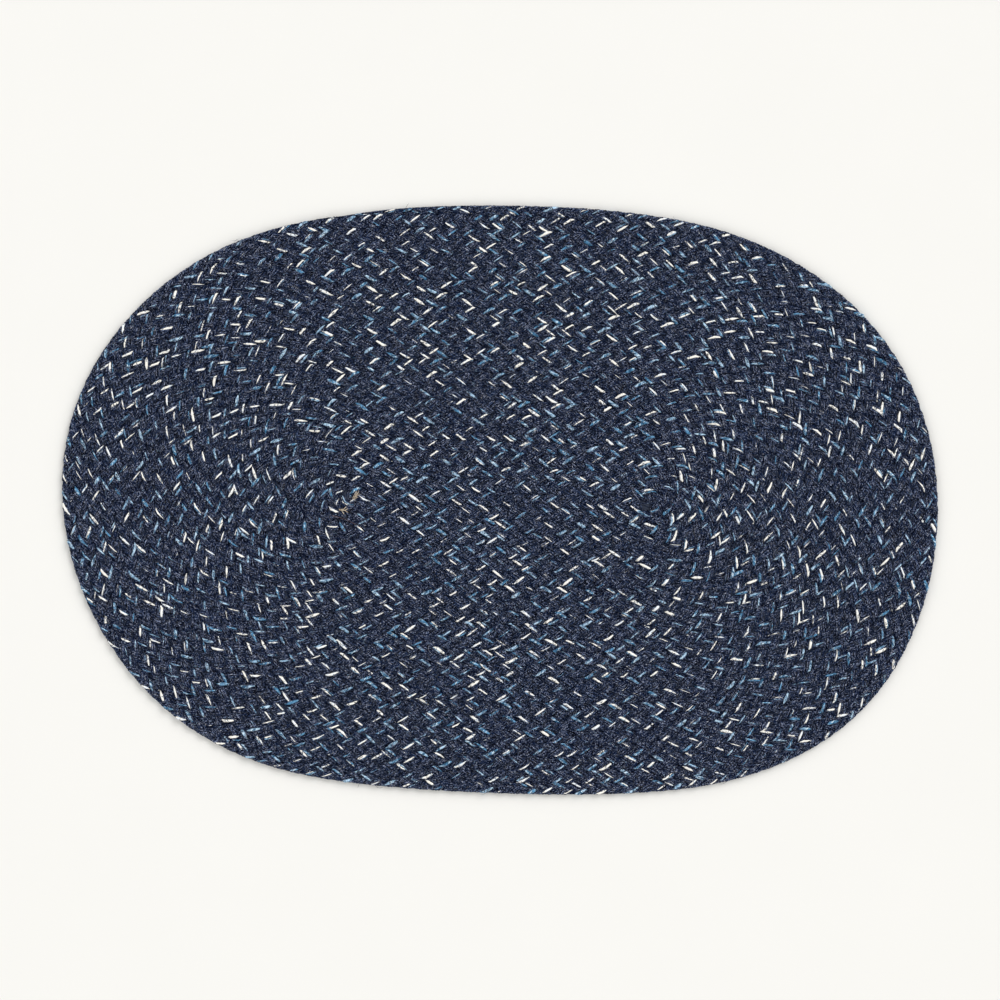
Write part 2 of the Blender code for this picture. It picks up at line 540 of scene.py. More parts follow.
# %% Fuzz node group
FUZZ_INPUTS = {
    "Fibre Width": 0.0012, "Fibre Length": 0.0019, "Bareness": 0.65,
    "Middle Height": 0.0038, "Bare Shaded Depth": 0.0004, "Crest Depth": 0.0031,
}
FUZZ_TURNS = (0.35, 1.40, 2.45)
FUZZ_EDGE = 0.05
# The outer side is kept out of the painted gap shade.
OUTER_SIDE = (0.55, 0.85)  # across the last turn, in half widths: where the fuzz begins and where it is full


def fuzz_group():
    """Short loose fibres in every direction, as long thin spots of noise turned three ways.

    They lie on the crests, above and below, and on the mat's outer side. Bare gaps between strands paint shade.
    """
    tree, given = new_group("fuzz", "ShaderNodeTree", FUZZ_INPUTS)
    place = object_place(tree)
    size = xyz(tree, given["Fibre Length"], given["Fibre Width"], given["Fibre Width"])
    edge = (given["Bareness"], given["Bareness"] + FUZZ_EDGE)
    fuzz = 0.0
    for turn in FUZZ_TURNS:
        inputs = {"Vector": place, "Angle": turn}
        turned = field(tree, "ShaderNodeVectorRotate", inputs, rotation_type="Z_AXIS")
        fuzz = noise(tree, turned / size, detail=1.0).between(*edge).math("MAXIMUM", fuzz)
    # Painted shade: 0 in the gaps, 1 on crests and outer side; it keeps fuzz and most pale streaks off the
    # gaps.
    depth = (split(place)[2] - given["Middle Height"]).math("ABSOLUTE")
    crest = depth.between(given["Bare Shaded Depth"], given["Crest Depth"])
    crest = crest.math("MAXIMUM", attribute(tree, "outside").between(*OUTER_SIDE))
    put_out(tree, {"Fuzz": fuzz * crest, "Crest": crest})
    return tree


FUZZ = fuzz_group()
print("node group", FUZZ.name, len(FUZZ.nodes), "nodes")

# %% [markdown]
# ## Dyed and undyed yarn
#
# One recipe makes every yarn's finish. Its colours run from the shade between fibres, through the body colour
# and a second body colour for some passes, to the dry fibres that lie on top, and the fibre pattern chooses
# among them. Jute is matt, with a faint sheen of loose fibre ends.
# Down in the gaps between strands fewer dry fibres and no loose fuzz show: that is painted shade.

# %% Yarn materials
STREAKS_IN_PAINTED_SHADE = 0.35  # painted shade: the share of pale streaks left down in the gaps, where those on the crests all show
JUTE_ROUGHNESS = 0.95
STREAK_SMOOTHER = 0.12
FIBRE_DEPTH = 0.0005
JUTE_SHEEN = 0.04


def mix(share, first, second):
    """A colour between two colours."""
    return field(share.tree, "ShaderNodeMix", {0: share, 6: first, 7: second}, 2, data_type="RGBA")


def new_material(name):
    """A material, its tree and the inputs of its shader."""
    material = bpy.data.materials.new(name)
    material.use_nodes = True
    return material, material.node_tree, material.node_tree.nodes["Principled BSDF"].inputs


def bump(height, strength, distance):
    """A normal that follows the height."""
    inputs = {"Height": height, "Strength": strength, "Distance": distance}
    return field(height.tree, "ShaderNodeBump", inputs)


def yarn_material(name, shade, body, other, dry, other_from=0.60, other_soft=0.15, relief=0.7,
                  fuzz=(0.34, 0.38, 0.52), fuzz_share=0.95):
    """Spun jute. The other body colour comes in as the yarn's tone passes `other_from`, give or take."""
    material, tree, shader = new_material(name)
    fibre = fields(node(tree, "ShaderNodeGroup", node_tree=SPUN_FIBRE))
    loose = fields(node(tree, "ShaderNodeGroup", node_tree=FUZZ))
    passes = fibre["Tone"].between(other_from - other_soft, other_from + other_soft)
    ground = mix(fibre["Heather"], shade, mix(passes, body, other))
    # Painted shade: fewer pale streaks show down in the gaps than on the crests.
    unshaded_streaks = loose["Crest"] * (1.0 - STREAKS_IN_PAINTED_SHADE) + STREAKS_IN_PAINTED_SHADE
    colour = mix(fibre["Streak"] * unshaded_streaks, ground, dry)
    fill(shader["Base Color"], mix(loose["Fuzz"] * fuzz_share, colour, fuzz))
    fill(shader["Roughness"], fibre["Streak"] * -STREAK_SMOOTHER + JUTE_ROUGHNESS)
    fill(shader["Normal"], bump(fibre["Relief"], relief, FIBRE_DEPTH))
    fill(shader["Specular IOR Level"], JUTE_SHEEN)
    return material


NAVY = yarn_material(
    "navy_jute", shade=(0.0004, 0.001, 0.005), body=(0.0035, 0.008, 0.027), other=(0.008, 0.020, 0.062),
    dry=(0.100, 0.135, 0.235), other_soft=0.60,
)
CREAM = yarn_material(
    "undyed_jute", shade=(0.90, 0.87, 0.80), body=(1.0, 0.97, 0.90), other=(0.82, 0.89, 0.97),
    dry=(1.00, 0.99, 0.96), other_soft=0.20, relief=0.35, fuzz=(0.10, 0.11, 0.14), fuzz_share=0.10,
)
BLUE = yarn_material(
    "light_blue_jute", shade=(0.030, 0.100, 0.190), body=(0.105, 0.28, 0.48), other=(0.44, 0.63, 0.82),
    dry=(0.66, 0.81, 0.92), other_from=0.57, fuzz=(0.03, 0.05, 0.09), fuzz_share=0.40,
)
print("materials", [m.name for m in bpy.data.materials])

# %% [markdown]
# ## The plait's rule as a node tree
#
# A flat plait of three strands has a simple rule. Going along it, a strand swings from side to side once in a
# crossing, and dips and rises twice, and the three strands are a third of a crossing apart. A strand is on
# top while it comes from an outer side to the middle, and underneath on its way out, which gives the row of
# slanting strokes on each side of the middle line. The yarns of a strand lie side by side, so each follows
# the same rule a little earlier or later.
#
# The tree copies a line once for each yarn, moves the copies onto the path by that rule, and sweeps a small
# ring along each. Each pass of a yarn over or under the others is given its own chance: it may lie more to
# one side, be thicker or thinner, or stay inside the strand and not show, which is what makes the light yarns
# into flecks.

# %% Inputs of the yarn tree
YARN_INPUTS = {
    "Path": "Geometry",
    "Crossings": CROSSINGS + 1,
    "Points per Crossing": 8.0,
    "Crowding": 0.35,  # of the points, where a yarn is on top
    "Path Points": float(PATH_POINTS),  # in a crossing
    "Yarns": 2,
    "First Yarn": 0,
    "Yarns per Strand": 4,
    "Sides": 4,
    "Yarn Radius": 0.0013,
    "Flatness": 1.0,  # one side of its section against the other
    "Swing": 0.93,  # across the row, in half widths
    "Steepness": 1.32,  # how straight its strokes are
    "Rise": 0.0023,  # above and below the middle height
    "Crown": 0.14,  # how much lower the outer lanes of a strand lie
    "Flat Top": 1.35,
    "Middle Height": 0.0038,
    "Spread": math.radians(30.0),  # between two lanes
    "Lead": math.radians(13.0),  # between two lanes, in the rise
    "Late": math.radians(6.0),  # the rise, behind the swing
    "Lane Stray": 0.25,
    "Thick and Thin": 0.12,
    "Slim Ends": 0.0,
    "Hidden Share": 0.0,  # of the passes
    "Clusters": 0.0,
    "Low Passes": 0.0,
    "Seed": 1.0,
    "Finish": "Material",
}
print("the yarn tree has", len(YARN_INPUTS), "inputs")

# %% Helpers for geometry nodes
SETS_APART = 40.0  # how far apart two sets of chances are drawn
VECTOR = "FLOAT_VECTOR"


def through(geometry, kind, inputs=None, output=0, **settings):
    """The geometry after one more geometry node, which takes it by its first input."""
    return field(geometry.tree, "GeometryNode" + kind, {0: geometry, **(inputs or {})}, output, **settings)


def position(tree):
    return field(tree, "GeometryNodeInputPosition")


def index_of_point(tree):
    return field(tree, "GeometryNodeInputIndex")


def stored(tree, name, kind="FLOAT"):
    """A named attribute, read as a field."""
    inputs = {"Name": name}
    return field(tree, "GeometryNodeInputNamedAttribute", inputs, "Attribute", data_type=kind)


def store(geometry, **values):
    """The geometry with each value kept on its points as a named attribute."""
    for name, value in values.items():
        kind = VECTOR if getattr(value, "is_vector", False) else "FLOAT"
        inputs = {"Name": name, "Value": value}
        geometry = through(geometry, "StoreNamedAttribute", inputs, data_type=kind)
    return geometry


def store_map(geometry, name, value):
    """The geometry with a map."""
    inputs = {"Name": name, "Value": value}
    settings = {"data_type": "FLOAT2", "domain": "CORNER"}
    return through(geometry, "StoreNamedAttribute", inputs, **settings)


def moved(geometry, place):
    return through(geometry, "SetPosition", {"Position": place})


def picked(path, index, value):
    """What the point of the path with this index holds."""
    settings = {"data_type": VECTOR if value.is_vector else "FLOAT", "clamp": True}
    return through(path, "SampleIndex", {"Value": value, "Index": index}, **settings)


def row_point(path, index, aside, height):
    """A point of the row at this place across it and this height, and the row's vector across."""
    middle = picked(path, index, position(path.tree))
    across = picked(path, index, stored(path.tree, "across", VECTOR))
    return middle + across * aside + xyz(path.tree, z=height), across


def point_count(path):
    return through(path, "AttributeDomainSize", output="Point Count")


def chances(item, own, seed, sets):
    """Three chances from 0 to 1 in each set. They depend on the item, its own number and the seed alone."""
    found = []
    for i in range(sets):
        inputs = {"Vector": xyz(item.tree, item, seed + SETS_APART * i + own)}
        settings = {"output": "Color", "noise_dimensions": "2D"}
        found += split(field(item.tree, "ShaderNodeTexWhiteNoise", inputs, **settings))
    return found


def about_zero(chance):
    """A chance from 0 to 1, turned into one from -1 to 1."""
    return chance * 2.0 - 1.0


def held(wave):
    """A wave with its tops and bottoms cut off at 1 and -1."""
    return wave.math("MINIMUM", 1.0).math("MAXIMUM", -1.0)


print("a point of the path carries", ", ".join(PATH))

# %% A yarn's place and thickness
FULL_CIRCLE = 2 * math.pi
CHANCES_APART = 3.7  # between two yarns
CLUSTERS_APART = 5.1
CLUSTER_SIZE = 0.105  # clusters of hidden passes in a pass
SLIMNESS = 9.0  # the higher, the shorter the slim ends
TAIL_THICKNESS = 0.35


def number_yarns(tree, given):
    """A curve for each yarn with its number stored, and its strand and its lane in the strand."""
    count = given["Crossings"] * given["Points per Crossing"]
    line = store(field(tree, "GeometryNodeMeshLine", {"Count": count}), step=index_of_point(tree))
    inputs = {0: through(line, "MeshToCurve"), "Amount": given["Yarns"]}
    copies = fields(node(tree, "GeometryNodeDuplicateElements", inputs, domain="SPLINE"))
    curve = store(copies["Geometry"], yarn=copies["Duplicate Index"] + given["First Yarn"])
    number, per_strand = stored(tree, "yarn"), given["Yarns per Strand"]
    lane = number % per_strand - (per_strand - 1.0) * 0.5
    return curve, number, (number / per_strand).math("FLOOR"), lane


def along_the_path(tree, given, strand, lane):
    """Each point's index on the path, and how many crossings its strand has made there.

    The points crowd where the yarn is on top of the plait and are sparse where it is underneath.
    """
    even = stored(tree, "step") / given["Points per Crossing"]
    wave = (even * (2 * FULL_CIRCLE)).math("COSINE")
    own = even + wave * (given["Crowding"] * (-1 / (2 * FULL_CIRCLE)))
    third = strand / 3.0
    behind = lane * (given["Spread"] + given["Lead"]) * (1 / (2 * FULL_CIRCLE)) + third
    index = ((own - behind) * given["Path Points"]).math("ROUND")
    return index, index / given["Path Points"] + third


def stays_inside(tree, given, number, a_pass, chance):
    """1 for a pass in which the yarn is inside its strand and doesn't show. Such passes come in clusters."""
    slow = xyz(tree, a_pass * CLUSTER_SIZE, number * CLUSTERS_APART + given["Seed"])
    cluster = (noise(tree, slow, detail=1.0, noise_dimensions="2D") - 0.5) * given["Clusters"]
    return chance.math("LESS_THAN", given["Hidden Share"] + cluster)


def yarn_thickness(given, angle, chance, full):
    """The yarn's radius: thicker or thinner by passes, slim where a pass ends and where the plait does."""
    radius = (about_zero(chance) * given["Thick and Thin"] + 1.0) * given["Yarn Radius"]
    ends = (angle * 2.0).math("COSINE").math("ABSOLUTE").math("POWER", SLIMNESS) * given["Slim Ends"]
    return radius * (1.0 - ends) * (full * (1.0 - TAIL_THICKNESS) + TAIL_THICKNESS)


def sideways(given, angle):
    """The yarn's place across the row, from -1 to 1: straight slanting strokes, with short turns between."""
    straight = angle.math("SINE").math("ARCSINE") * (given["Steepness"] * (2 / math.pi))
    return held(straight) * given["Swing"]


def upwards(given, angle, shown):
    """The yarn's height: on top from an outer side to the middle line, underneath on its way out."""
    wave = ((angle - given["Late"]) * 2.0).math("SINE") * given["Flat Top"]
    return given["Middle Height"] - held(wave) * given["Rise"] * shown


# %% Geometry node tree of the yarns
FLOOR_GAP = 0.0001


def ring_curve(tree, sides):
    """The ring that is swept along a yarn. Each of its points remembers its direction from the middle."""
    ring = field(tree, "GeometryNodeCurvePrimitiveCircle", {"Resolution": sides, "Radius": 1.0}, "Curve")
    return store(ring, ring=position(tree))


def swept(curve, profile, scale):
    inputs = {"Profile Curve": profile, "Scale": scale, "Fill Caps": True}
    return through(curve, "CurveToMesh", inputs)


def put_out_mesh(mesh, material):
    """Presses the mesh flat where the mat stands on the floor, and puts it out smooth and with its finish."""
    tree = mesh.tree
    x, y, z = split(position(tree))
    mesh = moved(mesh, xyz(tree, x, y, z.math("MAXIMUM", FLOOR_GAP)))
    mesh = through(mesh, "SetShadeSmooth")
    mesh = through(mesh, "RealizeInstances")
    put_out(tree, {"Mesh": through(mesh, "SetMaterial", {"Material": material})}, "Geometry")


def yarn_tree():
    tree, given = new_group("plaited_yarns", "GeometryNodeTree", YARN_INPUTS)
    curve, number, strand, lane = number_yarns(tree, given)
    index, turns = along_the_path(tree, given, strand, lane)
    # A yarn makes two passes in a crossing, and each starts underneath.
    a_pass = (turns * 2.0 - 0.25).math("FLOOR")
    chance = chances(a_pass, number * CHANCES_APART, given["Seed"], 2)
    stray_lane = about_zero(chance[0]) * given["Lane Stray"] + lane
    swing_angle = stray_lane * given["Spread"] + turns * FULL_CIRCLE
    rise_angle = stray_lane * given["Lead"] + turns * FULL_CIRCLE

    path = given["Path"]
    full, rim, along = (picked(path, index, stored(tree, name)) for name in ("full", "rim", "along"))
    aside = sideways(given, swing_angle)
    low = lane * lane * given["Crown"] + chance[3] * given["Low Passes"]
    height = upwards(given, rise_angle, (1.0 - low) * full)
    place, _ = row_point(path, index, aside, height)

    # What a point needs is kept on it. Then points off either end of the path and hidden passes are dropped.
    # As a string of edges a yarn falls into separate lengths there. A curve would bridge the gaps.
    off_path = index.math("LESS_THAN", 0.0) + index.math("GREATER_THAN", point_count(path) - 1.0)
    off = off_path + stays_inside(tree, given, number, a_pass, chance[2])
    thickness = yarn_thickness(given, rise_angle, chance[1], full)
    curve = store(curve, along=along, thickness=thickness, tone=chance[4], outside=aside * rim, off=off)
    edges = through(moved(curve, place), "CurveToMesh")
    edges = through(edges, "DeleteGeometry", {"Selection": stored(tree, "off")}, domain="POINT")
    curve = through(edges, "MeshToCurve")
    curve = through(curve, "SetCurveNormal", mode="Z_UP")
    ring = ring_curve(tree, given["Sides"])
    ring = moved(ring, position(tree) * xyz(tree, given["Flatness"], 1.0, 1.0))
    put_out_mesh(swept(curve, ring, stored(tree, "thickness")), given["Finish"])
    return tree


YARN_TREE = yarn_tree()
print("tree", YARN_TREE.name, len(YARN_TREE.nodes), "nodes")

# %% [markdown]
# ## From tree to plain mesh
#
# The export drops modifiers and instances, so each piece is taken from the evaluated tree as a plain mesh and
# its source is removed. A modifier's inputs are set by each socket's identifier before the first evaluation.

# %% Growing a piece


def grow(name, source, tree, values):
    """The mesh that the tree makes of the source object with these inputs, as a new object."""
    modifier = source.modifiers.new("grow", "NODES")
    modifier.node_group = tree
    identifiers = {s.name: s.identifier for s in tree.interface.items_tree if s.in_out == "INPUT"}
    for label, value in values.items():
        modifier[identifiers[label]] = value
    bpy.context.view_layer.update()
    evaluated = source.evaluated_get(bpy.context.evaluated_depsgraph_get())
    mesh = bpy.data.meshes.new_from_object(evaluated)
    source.modifiers.remove(modifier)
    mesh.name = name
    print(f"{name}: {sum(len(p.vertices) - 2 for p in mesh.polygons)} triangles")
    return add_object(name, mesh)


# %% [markdown]
# ## A flat map for each yarn
#
# The export paints every finish onto a map. Blender can unwrap a mesh by itself, but thousands of thin tubes
# become as many scraps. A yarn is better cut open along its length, cut into equal lengths and laid out in
# rows, like thread on a card. Each corner's place on the map follows from its point's number along the yarn,
# `step`, and from its direction on the ring.

# %% Maps
CAP_PLACE = 0.35  # past the end of its tube, in steps
CAP_SIZE = 0.25
MAP_MARGIN = 0.2
MAP = "OFBake"


def values_of(mesh, name, width=1):
    """A point attribute of the mesh as an array."""
    values = np.empty(len(mesh.vertices) * width, np.float32)
    mesh.attributes[name].data.foreach_get("vector" if width == 3 else "value", values)
    return values.reshape(-1, width) if width > 1 else values


def numbers_of(items, name):
    """A whole number of each item as an array."""
    values = np.empty(len(items), np.int32)
    items.foreach_get(name, values)
    return values


def lay_out_map(mesh, sides, steps_in_row):
    """Adds the map that the export uses: a mesh of tubes in rows, each tube cut open along its length."""
    corners = numbers_of(mesh.loops, "vertex_index")
    counts = numbers_of(mesh.polygons, "loop_total")
    starts = np.concatenate([[0], np.cumsum(counts)[:-1]])
    ring, step, yarn = values_of(mesh, "ring", 3), values_of(mesh, "step"), values_of(mesh, "yarn")
    side = np.round(np.arctan2(ring[:, 1], ring[:, 0]) / (2 * math.pi) * sides) % sides
    first = np.repeat(np.minimum.reduceat(step[corners], starts), counts)
    last = np.repeat(np.maximum.reduceat(step[corners], starts), counts)
    widest = np.repeat(np.maximum.reduceat(side[corners], starts), counts)
    around = np.where((widest == sides - 1) & (side[corners] == 0), sides, side[corners])
    around = np.where(widest - side[corners] > 1, sides, around)
    column = first % steps_in_row + (step[corners] - first)

    # A cap lies flat just past the end of its tube.
    cap = first == last
    column = np.where(cap, column + CAP_PLACE + CAP_SIZE * ring[corners, 0], column)
    around = np.where(cap, sides / 2 + CAP_SIZE * sides * ring[corners, 1], around)
    rows_of_a_yarn = math.floor(step.max() / steps_in_row) + 1
    row = (yarn[corners] - yarn.min()) * rows_of_a_yarn + first // steps_in_row
    rows = row.max() + 1
    across, up = (column + MAP_MARGIN) / (steps_in_row + 2), (row + (around + 0.5) / (sides + 1)) / rows
    layer = mesh.uv_layers.new(name=MAP, do_init=False)
    layer.uv.foreach_set("vector", np.stack([across, up], axis=1).astype(np.float32).ravel())
    print(mesh.name, "map:", int(rows), "rows")


# %% [markdown]
# ## Growing the yarns
#
# Four navy yarns lie side by side in each strand, and run through the whole plait. They are one node tree's
# work, two yarns to a piece. The light yarns are the same tree with other numbers: oval in section, slim at the
# ends of a pass, loose in their lane, a little higher than the navy ones, and hidden in many passes. Some are
# thick and some thin, as hand-spun yarns are, so the flecks differ.

# %% Grow the yarns
NAVY_YARNS = 12
YARNS_PER_PIECE = 2
NAVY_STEPS_IN_ROW = 90
LIGHT_STEPS_IN_ROW = 150
LIGHT_SIDES = 6
pieces = []
for first in range(0, NAVY_YARNS, YARNS_PER_PIECE):
    values = {"Yarns": YARNS_PER_PIECE, "First Yarn": first, "Finish": NAVY}
    pieces.append(grow(f"navy_yarns_{first // YARNS_PER_PIECE + 1}", PLAIT, YARN_TREE, values))
    lay_out_map(pieces[-1].data, YARN_INPUTS["Sides"], NAVY_STEPS_IN_ROW)

LIGHT_YARN = {
    "Yarns": 1, "Yarns per Strand": 1, "Sides": LIGHT_SIDES, "Points per Crossing": 10.0,
    "Flatness": 0.68, "Rise": 0.0030, "Flat Top": 1.0, "Slim Ends": 0.95, "Thick and Thin": 0.5,
    "Lane Stray": 1.5, "Clusters": 0.9, "Low Passes": 0.40,
}
LIGHT_YARNS = [
    # name, strand, finish, radius, hidden share, seed
    ("undyed_yarn", 0, CREAM, 0.0016, 0.31, 5.0),
    ("undyed_thin_yarn", 2, CREAM, 0.0012, 0.67, 6.0),
    ("light_blue_yarn", 1, BLUE, 0.0019, 0.19, 8.0),
    ("light_blue_thin_yarn", 0, BLUE, 0.0014, 0.41, 9.0),
]
for name, strand, material, radius, hidden, seed in LIGHT_YARNS:
    own = {"First Yarn": strand, "Finish": material, "Yarn Radius": radius}
    values = {**LIGHT_YARN, **own, "Hidden Share": hidden, "Seed": seed}
    pieces.append(grow(name, PLAIT, YARN_TREE, values))
    lay_out_map(pieces[-1].data, LIGHT_SIDES, LIGHT_STEPS_IN_ROW)

# %% [markdown]
# ## Loose fibres
#
# Spun jute is hairy. Short stiff fibres lie on the yarns, mostly the way the strand under them runs, and
# their dry ends are paler than the dye. A few longer hairs have worked loose and curl over the rows. They
# could be hair particles, but particles don't become part of a mesh. Here a second tree drops points on the
# yarns from above, lays a small spindle at each along the yarn's surface, and bends it.

# %% Geometry node tree of the loose fibres
FIBRE_INPUTS = {
    "Path": "Geometry",
    "Ground": "Collection",  # what the fibres lie on
    "Fibres": 1000,
    "Length": 0.0030,
    "Thickness": 0.00048,
    "Lift": 0.0001,
    "Bend": 0.10,  # of the length
    "Stroke Angle": math.radians(34.0),
    "Stray Angle": math.radians(90.0),
    "Reach": 0.96,  # across the row, in half widths
    "Lowest": 0.0062,  # a fibre that would lie deeper is left out
    "Slope Kept": 1.0,
    "Map Cells": 32.0,
    "Rings": 2,
    "Seed": 1.0,
    "Finish": "Material",
}
LENGTHS = (0.55, 0.9)  # the shortest, and how much longer the longest is, as shares of the length
THICKNESSES = (0.6, 0.8)
DROP_HEIGHT = 0.05
CELL_MARGIN = 0.1


def lay_of_the_strand(given, across, aside, chance):
    """The direction in which a fibre lies: along the strand on its side of the row, with some stray."""
    outward = across.math("NORMALIZE")
    forward = xyz(across.tree, z=1.0).math("CROSS_PRODUCT", outward)
    angle = aside.math("SIGN") * given["Stroke Angle"] * -1.0
    angle = about_zero(chance) * given["Stray Angle"] + angle
    return forward * angle.math("COSINE") + outward * angle.math("SINE")


def spindle(tree, rings):
    """A three-sided spindle one unit long each way, with its own places and its map kept on it."""
    ball = fields(node(tree, "GeometryNodeMeshUVSphere", {"Segments": 3, "Rings": rings, "Radius": 1.0}))
    return store_map(store(ball["Mesh"], ring=position(tree)), "spindle_map", ball["UV Map"])


def fibre_map(mesh, cells):
    """Each fibre's map in its own cell of a square grid."""
    number = stored(mesh.tree, "yarn")
    cell = (number % cells, (number / cells).math("FLOOR"))
    own = split(stored(mesh.tree, "spindle_map", VECTOR))
    places = [(own[i] * (1.0 - 2 * CELL_MARGIN) + (cell[i] + CELL_MARGIN)) / cells for i in range(2)]
    return store_map(mesh, MAP, xyz(mesh.tree, *places))


def fibre_tree():
    tree, given = new_group("loose_fibres", "GeometryNodeTree", FIBRE_INPUTS)
    number, path = index_of_point(tree), given["Path"]
    chance = chances(number, 0.0, given["Seed"], 3)
    aside = about_zero(chance[1]) * given["Reach"]
    above, across = row_point(path, chance[0] * point_count(path), aside, DROP_HEIGHT)

    ground = field(tree, "GeometryNodeCollectionInfo", {"Collection": given["Ground"]})
    ground = through(ground, "RealizeInstances")
    hit = fields(node(tree, "GeometryNodeRaycast", {
        "Target Geometry": ground, "Source Position": above,
        "Ray Direction": (0.0, 0.0, -1.0), "Ray Length": 2 * DROP_HEIGHT,
    }))
    skin = hit["Hit Normal"]
    lay = lay_of_the_strand(given, across, aside, chance[2])
    lay = lay - skin * lay.math("DOT_PRODUCT", skin, output="Value")
    flatter = xyz(tree, 1.0, 1.0, given["Slope Kept"])
    lay = (lay * flatter).math("NORMALIZE")
    length = given["Length"] * (chance[3] * LENGTHS[1] + LENGTHS[0])
    thickness = given["Thickness"] * (chance[4] * THICKNESSES[1] + THICKNESSES[0])
    bend = about_zero(chance[5]) * (length * given["Bend"])
    high = split(hit["Hit Position"])[2].math("GREATER_THAN", given["Lowest"])

    points = field(tree, "GeometryNodePoints", {"Count": given["Fibres"]})
    points = store(
        points, yarn=number, tone=chance[6], warmth=chance[7], lay=lay,
        bend=skin.math("CROSS_PRODUCT", lay) * flatter * bend,
        size=xyz(tree, thickness, thickness, length * 0.5), hit=high * hit["Is Hit"],
    )
    points = moved(points, hit["Hit Position"] + skin * given["Lift"])
    inputs = {"Vector": stored(tree, "lay", VECTOR)}
    turned = field(tree, "FunctionNodeAlignRotationToVector", inputs, axis="Z")
    mesh = through(points, "InstanceOnPoints", {
        "Selection": stored(tree, "hit"), "Instance": spindle(tree, given["Rings"]),
        "Rotation": turned, "Scale": stored(tree, "size", VECTOR),
    })
    mesh = through(mesh, "RealizeInstances")

    # The middle of a spindle moves aside by its bend, and its tips stay where they are.
    own = split(stored(tree, "ring", VECTOR))[2]
    offset = stored(tree, "bend", VECTOR) * (1.0 - own * own)
    mesh = through(mesh, "SetPosition", {"Offset": offset})
    put_out_mesh(fibre_map(store(mesh, along=own), given["Map Cells"]), given["Finish"])
    return tree


FIBRE_TREE = fibre_tree()
print("tree", FIBRE_TREE.name, len(FIBRE_TREE.nodes), "nodes")

# %% [markdown]
# ## The fibres' finish
#
# A fibre's depth of dye is its own `tone`: most are dark navy, some are grey, a few are pale. Its `warmth`
# makes a few of them light blue. The tips are worn paler than the middle.

# %% Finish of the loose fibres
FIBRE_STOPS = [
    (0.0, (0.001, 0.003, 0.010)), (0.62, (0.005, 0.010, 0.028)),
    (0.80, (0.09, 0.105, 0.17)), (1.0, (0.42, 0.44, 0.53)),
]
FIBRE_BLUE = (0.14, 0.24, 0.36)
FIBRE_TIP = (0.50, 0.50, 0.52)
BLUE_FROM = (0.86, 0.90)
BLUE_SHARE = 0.8
TIP_WEAR = 0.18
FIBRE_GRAIN = 1500.0


def fibre_material():
    """Dry fibres, each with its own depth of dye."""
    material, tree, shader = new_material("loose_fibre")
    colour = colour_ramp(attribute(tree, "tone"), FIBRE_STOPS)
    colour = mix(attribute(tree, "warmth").between(*BLUE_FROM) * BLUE_SHARE, colour, FIBRE_BLUE)
    along, grain = attribute(tree, "along"), noise(tree, object_place(tree), FIBRE_GRAIN)
    fill(shader["Base Color"], mix((along * along + grain) * TIP_WEAR, colour, FIBRE_TIP))
    fill(shader["Normal"], bump(grain, 0.3, 0.0001))
    fill(shader["Roughness"], 0.9)
    fill(shader["Specular IOR Level"], 0.1)
    return material


LOOSE = fibre_material()
print("material", LOOSE.name)

# %% Grow the loose fibres
YARNS = bpy.data.collections.new("yarns")
for piece in pieces:
    YARNS.objects.link(piece)
scene.collection.children.link(YARNS)
LONG_HAIRS = {
    "Seed": 5.0, "Length": 0.012, "Thickness": 0.00016, "Bend": 0.5, "Lift": 0.0005, "Stray Angle": 1.5,
    "Rings": 7, "Slope Kept": 0.15,
}
FIBRE_PIECES = [
    # name, fibres, values
    ("loose_fibres_1", 33000, {"Seed": 3.0}),
    ("loose_fibres_2", 33000, {"Seed": 4.0}),
    ("long_hairs", 1200, LONG_HAIRS),
]
for name, count, own in FIBRE_PIECES:
    cells = float(math.ceil(math.sqrt(count)))
    values = {"Fibres": count, "Ground": YARNS, "Map Cells": cells, "Finish": LOOSE, **own}
    pieces.append(grow(name, PLAIT, FIBRE_TREE, values))
bpy.data.collections.remove(YARNS)

# %% [markdown]
# ## The lacing
#
# A strong navy thread joins each turn of the coil to the one inside it. It passes through the edge of one
# plait, then through the edge of the next, so it zigzags over the groove and sinks between the strands. A
# third tree picks points on the two sides of the groove in turn and sweeps a thin ring through them.

# %% Lacing
LACING_STARTS = 0.55  # laps
THREAD_SIDES = 3
LACING_INPUTS = {
    "Path": "Geometry",
    "Stitches per Crossing": 3.0,
    "Path Points": float(PATH_POINTS),  # in a crossing
    "First Point": int(np.argmax(PATH["laps"] > LACING_STARTS)),
    "Reach": 0.26,  # to each side of the groove, in half widths of the row
    "Height": 0.0058,
    "Dip": 0.0012,
    "Thickness": 0.00055,
    "Finish": "Material",
}


def put_out_thread(curve, given):
    """A thin ring swept along the curve, with what the finish and the map need."""
    curve = store(curve, step=index_of_point(curve.tree), tone=0.5)
    mesh = swept(curve, ring_curve(curve.tree, THREAD_SIDES), given["Thickness"])
    put_out_mesh(store(mesh, yarn=0.0), given["Finish"])


def lacing_tree():
    tree, given = new_group("lacing", "GeometryNodeTree", LACING_INPUTS)
    path, number = given["Path"], index_of_point(tree)
    half_stitch = given["Path Points"] / (given["Stitches per Crossing"] * 2.0)
    count = (point_count(path) - given["First Point"]) / half_stitch
    index = number * half_stitch + given["First Point"]
    zigzag = about_zero(number % 2.0)
    aside = zigzag * given["Reach"] - 1.0
    height = zigzag * (given["Dip"] * 0.5) + given["Height"]
    place, _ = row_point(path, index, aside, height)
    line = field(tree, "GeometryNodeMeshLine", {"Count": count})
    line = moved(store(line, along=picked(path, index, stored(tree, "along"))), place)
    curve = through(line, "MeshToCurve")
    curve = through(curve, "CurveSplineType", spline_type="CATMULL_ROM")
    curve = through(curve, "SetSplineResolution", {"Resolution": 2})
    curve = through(curve, "ResampleCurve", mode="EVALUATED")
    put_out_thread(curve, given)
    return tree


